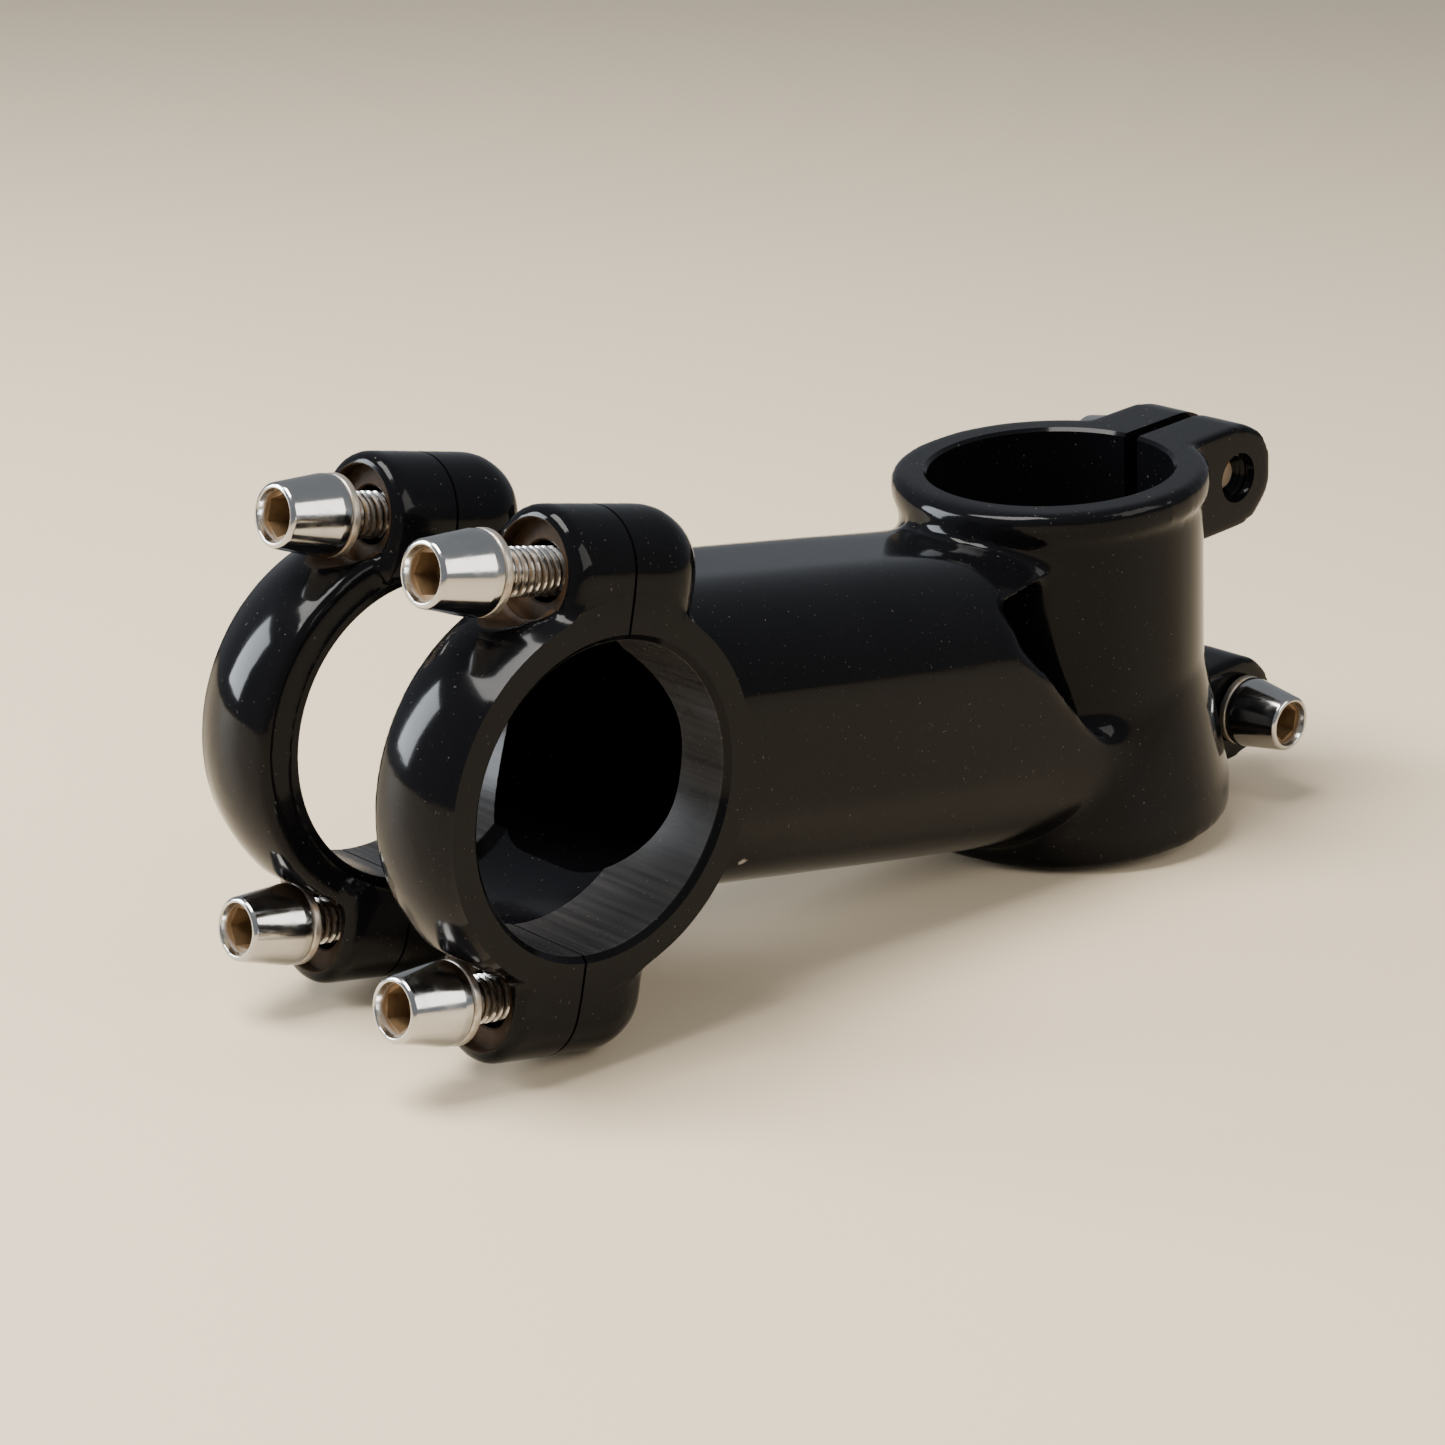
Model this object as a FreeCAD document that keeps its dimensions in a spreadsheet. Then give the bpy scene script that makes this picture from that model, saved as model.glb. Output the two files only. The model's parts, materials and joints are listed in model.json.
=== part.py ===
import FreeCAD, Part
import math
import os
import Sketcher

# Threadless bicycle handlebar stem with two separate front caps, in millimetres.
# Frame: Z is the steerer axis, z = 0 is the lower face of the steerer clamp, the extension points
# towards -Y and the handlebar lies along X. The extension rises towards the bar.
#
# The front of the stem has a frame of its own, the bar frame: X along the bar, U upwards in the
# parting plane of the caps, and N forwards along the extension. It is the row frame turned about X.

SIZES = (
    # steerer clamp
    ("steerer_diameter", 28.6),
    ("clamp_length", 42.5),
    ("collar_wall", 4.2),
    ("collar_length", 3.1),
    ("waist_wall", 3.4),
    ("base_wall", 6.3),
    ("base_length", 4.0),
    ("clamp_edge", 0.5),
    # extension
    ("reach", 90.0),
    ("rise_angle", 15.0),
    ("axis_lift", 11.7),
    ("bar_end_width", 34.5),
    ("bar_end_wall", 0.5),
    ("flank_wall", 2.7),
    ("bar_end_lift", 1.4),
    ("steerer_end_lift", 4.5),
    ("spine_drop", 12.3),
    ("extension_corner", 12.0),
    ("saddle_setback", 6.0),
    # hollow of the extension, open at the bar
    ("window_width", 28.0),
    ("window_lip", 2.6),
    ("window_corner", 10.5),
    ("hollow_wall", 4.5),
    ("hollow_floor", 19.0),
    ("hollow_lift", 3.5),
    # scoop that thins the upper sides of the steerer clamp
    ("scoop_foot_lift", 13.0),
    ("scoop_rise", 18.0),
    ("scoop_reach", 9.6),
    ("spine_angle", 17.0),
    # handlebar clamps
    ("bar_diameter", 31.8),
    ("band_width", 11.7),
    ("band_gap", 17.2),
    ("band_inner_wall", 3.9),
    ("band_outer_wall", 3.4),
    ("band_crown", 15.0),
    ("saddle_relief", 1.1),
    ("saddle_wall", 2.1),
    ("parting_gap", 0.3),
    # lugs for the cap screws
    ("screw_offset", 5.6),
    ("screw_inset", 0.8),
    ("lug_radius", 6.6),
    ("cap_lug_length", 7.8),
    ("seat_sink", 1.6),
    ("seat_radius", 5.2),
    ("rear_lug_length", 11.0),
    ("thread_depth", 12.0),
    # lugs for the pinch screws
    ("pinch_width", 16.0),
    ("pinch_radius", 6.4),
    ("pinch_offset", 10.2),
    ("slot_width", 2.0),
    # M5 screws and their washers
    ("thread_diameter", 4.95),
    ("thread_clearance", 0.05),
    ("hole_clearance", 0.55),
    ("cap_screw_length", 18.0),
    ("pinch_screw_length", 15.0),
    ("head_diameter", 8.5),
    ("head_front_diameter", 6.9),
    ("head_length", 6.9),
    ("head_edge", 0.6),
    ("hex_width", 4.0),
    ("hex_depth", 3.6),
    ("hex_mouth", 5.0),
    ("washer_diameter", 8.6),
    ("washer_clearance", 0.175),
    ("washer_thickness", 0.9),
    # how far each screw is backed out from its seat
    ("left_upper_slack", 7.3),
    ("left_lower_slack", 4.4),
    ("right_upper_slack", 4.4),
    ("right_lower_slack", 3.3),
    ("pinch_slack", 0.4),
    # edge roundings of the forgings
    ("lug_edge", 1.2),
    ("rear_lug_edge", 5.5),
)

BAR_TURN = "(90 - sizes.rise_angle)"
RISE = "(sizes.rise_angle * 1deg)"
BAR_RADIUS = "(sizes.bar_diameter / 2)"
STEERER_RADIUS = "(sizes.steerer_diameter / 2)"
BAND_INNER = "(sizes.band_gap / 2)"
BAND_OUTER = "(sizes.band_gap / 2 + sizes.band_width)"
SCREW_X = "(sizes.band_gap / 2 + sizes.band_width / 2 - sizes.screw_inset)"
SCREW_U = "(sizes.bar_diameter / 2 + sizes.screw_offset)"
SEAT_N = "(sizes.cap_lug_length - sizes.seat_sink)"
BAR_Y = f"(-sizes.reach * cos({RISE}))"
BAR_Z = f"(sizes.axis_lift + sizes.reach * sin({RISE}))"
TAPPED_RADIUS = "(sizes.thread_diameter / 2 + sizes.thread_clearance)"
CLEAR_RADIUS = "(sizes.thread_diameter / 2 + sizes.hole_clearance)"
PINCH_UPPER_Z = "(sizes.clamp_length - sizes.pinch_radius)"
PINCH_LOWER_Z = "sizes.pinch_radius"
PINCH_FACE = "(sizes.pinch_width / 2)"
PINCH_Y = "(sizes.steerer_diameter / 2 + sizes.pinch_offset)"
# The extension is as deep and as wide as its two clamps ask for.
BAR_END_DEPTH = "(sizes.bar_diameter + 2 * sizes.bar_end_wall)"
STEERER_END_WIDTH = "(sizes.steerer_diameter + 2 * sizes.flank_wall)"
SPINE_RISE = "(sizes.clamp_length - sizes.axis_lift - sizes.spine_drop)"
STEERER_END_DEPTH = f"(2 * {SPINE_RISE} * cos({RISE}))"
WINDOW_DEPTH = "(sizes.bar_diameter - 2 * sizes.window_lip)"
# A cut or a filled core that has to reach past everything it meets.
FAR = "(2 * sizes.reach)"

# Edges this close to a plane lie in it.
EDGE_REACH = 0.01

SIDES = (("left", 1), ("right", -1))
LEVELS = (("upper", 1), ("lower", -1))

doc = FreeCAD.newDocument("handlebar_stem")
sheet = doc.addObject("Spreadsheet::Sheet", "sizes")
for row, (alias, number) in enumerate(SIZES, start=1):
    sheet.set(f"A{row}", alias)
    sheet.set(f"B{row}", str(number))
    sheet.setAlias(f"B{row}", alias)
doc.recompute()


def value(expression):
    """The number that an expression on the sheet gives."""
    result = sheet.evalExpression(expression)
    return float(getattr(result, "Value", result))


def new_body(label):
    body = doc.addObject("PartDesign::Body", label)
    body.Label = label
    return body


def new_sketch(body, name, plane, shift=None, turn=None):
    """A sketch on one of the body's origin planes, moved and turned about its own first axis."""
    sketch = body.newObject("Sketcher::SketchObject", name)
    support = [item for item in body.Origin.OriginFeatures if item.Role == plane][0]
    sketch.AttachmentSupport = [(support, "")]
    sketch.MapMode = "FlatFace"
    if turn:
        turned = FreeCAD.Rotation(FreeCAD.Vector(-1, 0, 0), value(turn))
        sketch.AttachmentOffset = FreeCAD.Placement(FreeCAD.Vector(), turned)
        sketch.setExpression("AttachmentOffset.Rotation.Angle", turn)
    for axis, expression in (shift or {}).items():
        sketch.setExpression(f"AttachmentOffset.Base.{axis}", expression)
    return sketch


def bar_sketch(body, name, along):
    """A sketch in X and U, with its centre on the extension's axis at a distance from the steerer."""
    shift = {"y": f"sizes.axis_lift + {along} * sin({RISE})", "z": f"{along} * cos({RISE})"}
    return new_sketch(body, name, "XZ_Plane", shift, "sizes.rise_angle")


def bind(sketch, constraint, expression):
    index = sketch.addConstraint(constraint)
    sketch.setExpression(f"Constraints[{index}]", expression)


def pin(sketch, geometry, point, x, y):
    """Hold a point of the sketch at two expressions."""
    bind(sketch, Sketcher.Constraint("DistanceX", -1, 1, geometry, point, value(x)), x)
    bind(sketch, Sketcher.Constraint("DistanceY", -1, 1, geometry, point, value(y)), y)


def add_circle(sketch, x, y, radius):
    centre = FreeCAD.Vector(value(x), value(y), 0)
    circle = Part.Circle(centre, FreeCAD.Vector(0, 0, 1), value(radius))
    index = sketch.addGeometry(circle, False)
    pin(sketch, index, 3, x, y)
    bind(sketch, Sketcher.Constraint("Radius", index, value(radius)), radius)


def arc_between(start, end, radius):
    """The minor arc that bulges to the right of the way from start to end."""
    chord = end - start
    half = chord.Length / 2
    normal = FreeCAD.Vector(-chord.y, chord.x, 0).normalize()
    centre = start + chord * 0.5 + normal * math.sqrt(radius * radius - half * half)
    first = math.atan2(start.y - centre.y, start.x - centre.x)
    last = math.atan2(end.y - centre.y, end.x - centre.x)
    if last < first:
        last += 2 * math.pi
    return Part.ArcOfCircle(Part.Circle(centre, FreeCAD.Vector(0, 0, 1), radius), first, last)


def add_outline(sketch, corners, arcs=None):
    """A closed outline, anticlockwise. arcs gives the radius of each edge that is an outward arc."""
    arcs = arcs or {}
    points = [FreeCAD.Vector(value(x), value(y), 0) for x, y in corners]
    edges = []
    for number, start in enumerate(points):
        end = points[(number + 1) % len(points)]
        if number in arcs:
            shape = arc_between(start, end, value(arcs[number]))
        else:
            shape = Part.LineSegment(start, end)
        edges.append(sketch.addGeometry(shape, False))
    for number, edge in enumerate(edges):
        pin(sketch, edge, 1, *corners[number])
        following = edges[(number + 1) % len(edges)]
        sketch.addConstraint(Sketcher.Constraint("Coincident", edge, 2, following, 1))
        if number in arcs:
            radius = arcs[number]
            bind(sketch, Sketcher.Constraint("Radius", edge, value(radius)), radius)


def add_rectangle(sketch, x_low, x_high, y_low, y_high):
    add_outline(sketch, ((x_low, y_low), (x_high, y_low), (x_high, y_high), (x_low, y_high)))


def add_rounded_rectangle(sketch, width, height, corner, lift="0"):
    """A rectangle with four round corners, centred on the sketch or lifted above its centre."""
    x_out = f"({width}) / 2"
    y_out = f"({height}) / 2"
    x_in = f"({width}) / 2 - ({corner})"
    y_in = f"({height}) / 2 - ({corner})"
    top, upper = f"{lift} + {y_out}", f"{lift} + {y_in}"
    bottom, lower = f"{lift} - {y_out}", f"{lift} - ({y_in})"
    corners = (
        (f"-({x_in})", bottom), (x_in, bottom), (x_out, lower), (x_out, upper),
        (x_in, top), (f"-({x_in})", top), (f"-({x_out})", upper), (f"-({x_out})", lower),
    )
    add_outline(sketch, corners, {1: corner, 3: corner, 5: corner, 7: corner})


def finish_feature(body, feature, adds):
    """Recompute, and stop if the feature did not add or take material as it should."""
    previous = feature.BaseFeature.Shape.Volume if feature.BaseFeature else 0.0
    body.Tip = feature
    doc.recompute()
    change = feature.Shape.Volume - previous
    if feature.Shape.isNull() or not feature.Shape.isValid() or change * (1 if adds else -1) <= 0:
        raise RuntimeError(f"{body.Label}.{feature.Name} failed or changed nothing: {change:.3f}")


def extrude(body, sketch, length, adds=True, reverse=False, both_ways=False):
    """Pad or pocket a sketch. reverse=False goes along the sketch's normal for both."""
    kind = "PartDesign::Pad" if adds else "PartDesign::Pocket"
    feature = body.newObject(kind, f"{sketch.Name}_{'pad' if adds else 'cut'}")
    feature.Profile = sketch
    feature.Type = "Length"
    feature.AllowMultiFace = True
    feature.setExpression("Length", length)
    if both_ways:
        feature.SideType = "Symmetric"
    feature.Reversed = reverse if adds else not reverse
    finish_feature(body, feature, adds)


def spin(body, sketch, axis, angle, adds=True, reverse=False, both_ways=False):
    """Revolve or groove a sketch about one of its own axes."""
    kind = "PartDesign::Revolution" if adds else "PartDesign::Groove"
    feature = body.newObject(kind, f"{sketch.Name}_{'turn' if adds else 'groove'}")
    feature.Profile = sketch
    feature.ReferenceAxis = (sketch, [axis])
    feature.AllowMultiFace = True
    feature.setExpression("Angle", angle)
    feature.Midplane = both_ways
    feature.Reversed = reverse
    finish_feature(body, feature, adds)


def loft(body, first, last, adds=True):
    kind = "PartDesign::AdditiveLoft" if adds else "PartDesign::SubtractiveLoft"
    feature = body.newObject(kind, f"{first.Name}_loft")
    feature.Profile = first
    feature.Sections = [last]
    feature.Ruled = True
    finish_feature(body, feature, adds)


def round_edges(body, name, radius, wanted):
    """Fillet the straight and circular edges of the body's tip that the test picks by their middle."""
    tip = body.Tip
    picked = []
    for number, edge in enumerate(tip.Shape.Edges, start=1):
        middle = edge.valueAt((edge.FirstParameter + edge.LastParameter) / 2)
        if edge.Curve.TypeId in ("Part::GeomLine", "Part::GeomCircle") and wanted(middle):
            picked.append(f"Edge{number}")
    feature = body.newObject("PartDesign::Fillet", name)
    feature.Base = (tip, picked)
    feature.setExpression("Radius", radius)
    body.Tip = feature
    doc.recompute()
    if not picked or feature.Shape.isNull() or not feature.Shape.isValid():
        raise RuntimeError(f"{body.Label}.{name} failed on {len(picked)} edges")


def band_profile(sketch, side):
    """Half section of one clamp band, from the bar's axis out to its crown."""
    inner = f"{side} * {BAND_INNER}"
    outer = f"{side} * {BAND_OUTER}"
    shoulder = f"{BAR_RADIUS} + sizes.band_inner_wall"
    lip = f"{BAR_RADIUS} + sizes.band_outer_wall"
    core = f"{BAR_RADIUS} / 2"
    if side > 0:
        corners = ((inner, core), (outer, core), (outer, lip), (inner, shoulder))
    else:
        corners = ((outer, core), (inner, core), (inner, shoulder), (outer, lip))
    add_outline(sketch, corners, {2: "sizes.band_crown"})


def along_extension(point):
    """How far in front of the bar's axis a point is, along N."""
    rise = math.radians(value("sizes.rise_angle"))
    return -(point.y - value(BAR_Y)) * math.cos(rise) + (point.z - value(BAR_Z)) * math.sin(rise)


def up_extension(point):
    """How far above the bar's axis a point is, along U."""
    rise = math.radians(value("sizes.rise_angle"))
    return (point.y - value(BAR_Y)) * math.sin(rise) + (point.z - value(BAR_Z)) * math.cos(rise)


def place_in_bar_frame(body, along_x, along_u, along_n):
    """Stand the body's own Z along N, at a point given in the bar frame."""
    turned = FreeCAD.Rotation(FreeCAD.Vector(1, 0, 0), value(BAR_TURN))
    body.Placement = FreeCAD.Placement(FreeCAD.Vector(), turned)
    body.setExpression("Placement.Rotation.Angle", BAR_TURN)
    body.setExpression("Placement.Base.x", along_x)
    y = f"{BAR_Y} - ({along_n}) * cos({RISE}) + ({along_u}) * sin({RISE})"
    z = f"{BAR_Z} + ({along_n}) * sin({RISE}) + ({along_u}) * cos({RISE})"
    body.setExpression("Placement.Base.y", y)
    body.setExpression("Placement.Base.z", z)


def place_on_pinch_lug(body, side, distance, height):
    """Stand the body's own Z along +X or -X, at the setback of the pinch screws."""
    turned = FreeCAD.Rotation(FreeCAD.Vector(0, side, 0), 90)
    body.Placement = FreeCAD.Placement(FreeCAD.Vector(), turned)
    body.setExpression("Placement.Base.x", f"{side} * ({distance})")
    body.setExpression("Placement.Base.y", PINCH_Y)
    body.setExpression("Placement.Base.z", height)


def make_stem_body():
    body = new_body("stem_body")

    # Lugs that the cap screws pull on, domed at the rear.
    bosses = bar_sketch(body, "bosses", "sizes.reach")
    webs = bar_sketch(body, "webs", "sizes.reach")
    for _, side in SIDES:
        low = f"{side} * {SCREW_X} - sizes.lug_radius"
        high = f"{side} * {SCREW_X} + sizes.lug_radius"
        for _, level in LEVELS:
            add_circle(bosses, f"{side} * {SCREW_X}", f"{level} * {SCREW_U}", "sizes.lug_radius")
            if level > 0:
                add_rectangle(webs, low, high, BAR_RADIUS, SCREW_U)
            else:
                add_rectangle(webs, low, high, f"-{SCREW_U}", f"-{BAR_RADIUS}")
    extrude(body, bosses, "sizes.rear_lug_length", reverse=True)
    extrude(body, webs, "sizes.rear_lug_length", reverse=True)

    rear = -value("sizes.rear_lug_length")
    inner = value(BAR_RADIUS) + EDGE_REACH
    round_edges(
        body, "rear_lug_rounding", "sizes.rear_lug_edge",
        lambda middle: abs(along_extension(middle) - rear) < EDGE_REACH
        and abs(up_extension(middle)) > inner,
    )

    # Extension: a tapered tube with round corners.
    bar_end = bar_sketch(body, "bar_end", "(sizes.reach - sizes.saddle_setback)")
    corner = "sizes.extension_corner"
    add_rounded_rectangle(
        bar_end, "sizes.bar_end_width", BAR_END_DEPTH, corner, "sizes.bar_end_lift"
    )
    steerer_end = bar_sketch(body, "steerer_end", "0")
    add_rounded_rectangle(
        steerer_end, STEERER_END_WIDTH, STEERER_END_DEPTH, corner, "sizes.steerer_end_lift"
    )
    loft(body, bar_end, steerer_end)

    # Scoop round the upper sides of the steerer clamp. A spine stays in front, up to the collar.
    waist = f"({STEERER_RADIUS} + sizes.waist_wall)"
    foot = "sizes.scoop_foot_lift"
    brim = f"{foot} + sizes.scoop_rise"
    scoop = new_sketch(body, "scoop", "YZ_Plane")
    corners = (
        ("0", foot), (waist, foot), (f"{waist} + sizes.scoop_reach", brim),
        (f"{waist} + sizes.scoop_reach", f"{BAR_Z}"), ("0", f"{BAR_Z}"),
    )
    add_outline(scoop, corners)
    spin(body, scoop, "V_Axis", "360 - 2 * sizes.spine_angle", adds=False, both_ways=True)

    # Steerer clamp: collar, thin waist and a base that flares into the extension.
    collar = f"({STEERER_RADIUS} + sizes.collar_wall)"
    base = f"({STEERER_RADIUS} + sizes.base_wall)"
    flare = f"{foot} + sizes.scoop_rise / 3"
    collar_foot = "sizes.clamp_length - sizes.collar_length"
    clamp = new_sketch(body, "clamp", "XZ_Plane")
    corners = (
        ("0", "0"), (f"{base} - sizes.clamp_edge", "0"), (base, "sizes.clamp_edge"),
        (base, "sizes.base_length"), (waist, flare),
        (waist, f"{collar_foot} - ({collar} - {waist})"), (collar, collar_foot),
        (collar, "sizes.clamp_length - sizes.clamp_edge"),
        (f"{collar} - sizes.clamp_edge", "sizes.clamp_length"), ("0", "sizes.clamp_length"),
    )
    add_outline(clamp, corners)
    spin(body, clamp, "V_Axis", "360")

    # Rear halves of the two clamp bands.
    bands = bar_sketch(body, "bands", "sizes.reach")
    band_profile(bands, 1)
    band_profile(bands, -1)
    spin(body, bands, "H_Axis", "180", reverse=True)

    # Web between the bands, so that the saddle behind the bar reaches the parting plane.
    web = bar_sketch(body, "saddle_web", "sizes.reach")
    web_edge = f"({BAND_INNER} + sizes.band_width / 2)"
    web_top = f"{BAR_RADIUS} + sizes.saddle_relief + sizes.saddle_wall"
    add_rectangle(web, f"-{web_edge}", web_edge, f"{BAR_RADIUS} / 2", web_top)
    spin(body, web, "H_Axis", "180", reverse=True)

    # Lugs behind the steerer clamp for the two pinch screws.
    pinch_bosses = new_sketch(body, "pinch_bosses", "YZ_Plane")
    for height in (PINCH_UPPER_Z, PINCH_LOWER_Z):
        add_circle(pinch_bosses, PINCH_Y, height, "sizes.pinch_radius")
    extrude(body, pinch_bosses, "sizes.pinch_width", both_ways=True)
    pinch_webs = new_sketch(body, "pinch_webs", "YZ_Plane")
    inside = f"{STEERER_RADIUS} - sizes.waist_wall"
    top = "sizes.clamp_length"
    add_rectangle(pinch_webs, inside, PINCH_Y, f"{top} - 2 * sizes.pinch_radius", top)
    add_rectangle(pinch_webs, inside, PINCH_Y, "0", "2 * sizes.pinch_radius")
    extrude(body, pinch_webs, "sizes.pinch_width", both_ways=True)

    # Flat lower face of the steerer clamp.
    lower_face = new_sketch(body, "lower_face", "XY_Plane")
    add_rectangle(lower_face, f"-{FAR}", FAR, f"-{FAR}", FAR)
    extrude(body, lower_face, "sizes.clamp_length", adds=False, reverse=True)

    # Seats of the bar and the steerer.
    bar_seat = new_sketch(body, "bar_seat", "YZ_Plane")
    add_circle(bar_seat, BAR_Y, BAR_Z, BAR_RADIUS)
    extrude(body, bar_seat, FAR, adds=False, both_ways=True)
    saddle = new_sketch(body, "saddle", "YZ_Plane")
    add_circle(saddle, BAR_Y, BAR_Z, f"{BAR_RADIUS} + sizes.saddle_relief")
    extrude(body, saddle, "sizes.band_gap", adds=False, both_ways=True)
    parting = bar_sketch(body, "parting", "(sizes.reach - sizes.parting_gap / 2)")
    add_rectangle(parting, f"-{FAR}", FAR, f"-{FAR}", FAR)
    extrude(body, parting, FAR, adds=False)
    mouth = bar_sketch(body, "mouth", "sizes.reach")
    add_rounded_rectangle(mouth, "sizes.window_width", WINDOW_DEPTH, "sizes.window_corner")
    floor = bar_sketch(body, "floor", f"({STEERER_RADIUS} + sizes.hollow_floor)")
    hollow_width = f"{STEERER_END_WIDTH} - 2 * sizes.hollow_wall"
    hollow_depth = f"{STEERER_END_DEPTH} - 2 * sizes.hollow_wall"
    hollow_corner = f"{corner} - sizes.hollow_wall"
    add_rounded_rectangle(floor, hollow_width, hollow_depth, hollow_corner, "sizes.hollow_lift")
    loft(body, mouth, floor, adds=False)
    steerer_seat = new_sketch(body, "steerer_seat", "XY_Plane")
    add_circle(steerer_seat, "0", "0", STEERER_RADIUS)
    extrude(body, steerer_seat, FAR, adds=False, both_ways=True)
    slot = new_sketch(body, "slot", "XY_Plane")
    add_rectangle(slot, "-sizes.slot_width / 2", "sizes.slot_width / 2", "0", FAR)
    extrude(body, slot, FAR, adds=False, both_ways=True)

    # Tapped holes for the cap screws.
    tapped = bar_sketch(body, "tapped", "sizes.reach")
    for _, side in SIDES:
        for _, level in LEVELS:
            add_circle(tapped, f"{side} * {SCREW_X}", f"{level} * {SCREW_U}", TAPPED_RADIUS)
    extrude(body, tapped, "sizes.thread_depth", adds=False, reverse=True)

    # Each pinch screw passes a clear hole under its head and a tapped one past the slot.
    for level, height, head_side in (("upper", PINCH_UPPER_Z, -1), ("lower", PINCH_LOWER_Z, 1)):
        clear = new_sketch(body, f"pinch_clear_{level}", "YZ_Plane")
        add_circle(clear, PINCH_Y, height, CLEAR_RADIUS)
        extrude(body, clear, "sizes.pinch_width", adds=False, reverse=head_side < 0)
        thread = new_sketch(body, f"pinch_thread_{level}", "YZ_Plane")
        add_circle(thread, PINCH_Y, height, TAPPED_RADIUS)
        extrude(body, thread, "sizes.pinch_width", adds=False, reverse=head_side > 0)
    return body


def make_faceplate(name, side):
    """One front cap: half a band, its two lugs, and the spot faces under the screw heads."""
    body = new_body(f"faceplate_{name}")
    band = new_sketch(body, "band", "XY_Plane")
    band_profile(band, side)
    spin(body, band, "H_Axis", "180")
    centre = f"{side} * {SCREW_X}"
    low = f"{centre} - sizes.lug_radius"
    high = f"{centre} + sizes.lug_radius"
    bosses = new_sketch(body, "bosses", "XY_Plane")
    webs = new_sketch(body, "webs", "XY_Plane")
    for _, level in LEVELS:
        add_circle(bosses, centre, f"{level} * {SCREW_U}", "sizes.lug_radius")
    add_rectangle(webs, low, high, BAR_RADIUS, SCREW_U)
    add_rectangle(webs, low, high, f"-{SCREW_U}", f"-{BAR_RADIUS}")
    extrude(body, bosses, "sizes.cap_lug_length")
    extrude(body, webs, "sizes.cap_lug_length")
    bar_seat = new_sketch(body, "bar_seat", "YZ_Plane")
    add_circle(bar_seat, "0", "0", BAR_RADIUS)
    extrude(body, bar_seat, FAR, adds=False, both_ways=True)
    front = value("sizes.cap_lug_length")
    crown = value(f"{BAR_RADIUS} + sizes.band_inner_wall")
    round_edges(
        body, "lug_rounding", "sizes.lug_edge",
        lambda middle: abs(middle.z - front) < EDGE_REACH and abs(middle.y) > crown,
    )
    seats = new_sketch(body, "seats", "XY_Plane", {"z": SEAT_N})
    holes = new_sketch(body, "holes", "XY_Plane")
    for _, level in LEVELS:
        add_circle(seats, centre, f"{level} * {SCREW_U}", "sizes.seat_radius")
        add_circle(holes, centre, f"{level} * {SCREW_U}", CLEAR_RADIUS)
    extrude(body, seats, FAR, adds=False)
    extrude(body, holes, FAR, adds=False)
    parting = new_sketch(body, "parting", "XY_Plane")
    add_rectangle(parting, f"-{FAR}", FAR, f"-{FAR}", FAR)
    extrude(body, parting, "sizes.parting_gap / 2", adds=False)
    place_in_bar_frame(body, "0", "0", "0")
    return body


def make_screw(label, shank):
    """M5 screw with a tapered head. Its own Z points out of the head, from the head's seat."""
    body = new_body(label)
    rear = "sizes.head_diameter / 2"
    front = "sizes.head_front_diameter / 2"
    thread = "sizes.thread_diameter / 2"
    blank = new_sketch(body, "blank", "XZ_Plane")
    corners = (
        ("0", f"-({shank})"), (f"{thread} - sizes.head_edge", f"-({shank})"),
        (thread, f"-({shank}) + sizes.head_edge"), (thread, "0"), (rear, "0"),
        (rear, "sizes.head_edge"), (front, "sizes.head_length - sizes.head_edge"),
        (f"{front} - sizes.head_edge", "sizes.head_length"), ("0", "sizes.head_length"),
    )
    add_outline(blank, corners)
    spin(body, blank, "V_Axis", "360")
    socket = new_sketch(body, "socket", "XY_Plane", {"z": "sizes.head_length"})
    across = "sizes.hex_width / sqrt(3)"
    corners = []
    for step in range(6):
        angle = f"({60 * step} * 1deg)"
        corners.append((f"{across} * cos({angle})", f"{across} * sin({angle})"))
    add_outline(socket, corners)
    extrude(body, socket, "sizes.hex_depth", adds=False, reverse=True)
    mouth = new_sketch(body, "mouth", "XZ_Plane")
    depth = "(sizes.hex_mouth / 2 - sizes.hex_width / 2)"
    corners = (
        ("0", f"sizes.head_length - {depth}"), ("sizes.hex_width / 2", f"sizes.head_length - {depth}"),
        ("sizes.hex_mouth / 2", "sizes.head_length"), ("0", "sizes.head_length"),
    )
    add_outline(mouth, corners)
    spin(body, mouth, "V_Axis", "360", adds=False)
    return body


def make_washer(label):
    """Flat washer. Its own Z points away from the lug, from the face on the lug's side."""
    body = new_body(label)
    ring = new_sketch(body, "ring", "XY_Plane")
    add_circle(ring, "0", "0", "sizes.washer_diameter / 2")
    add_circle(ring, "0", "0", "sizes.thread_diameter / 2 + sizes.washer_clearance")
    extrude(body, ring, "sizes.washer_thickness")
    return body


def make_cap_screws():
    """Four screws with their washers, each backed out along its own axis."""
    pieces = []
    for side_name, side in SIDES:
        for level_name, level in LEVELS:
            place = f"{side_name}_{level_name}"
            washer_n = f"{SEAT_N} + sizes.{place}_slack"
            screw_x = f"{side} * {SCREW_X}"
            screw_u = f"{level} * {SCREW_U}"
            washer = make_washer(f"faceplate_washer_{place}")
            place_in_bar_frame(washer, screw_x, screw_u, washer_n)
            screw = make_screw(f"faceplate_bolt_{place}", "sizes.cap_screw_length")
            place_in_bar_frame(screw, screw_x, screw_u, f"{washer_n} + sizes.washer_thickness")
            pieces += [washer, screw]
    return pieces


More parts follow.
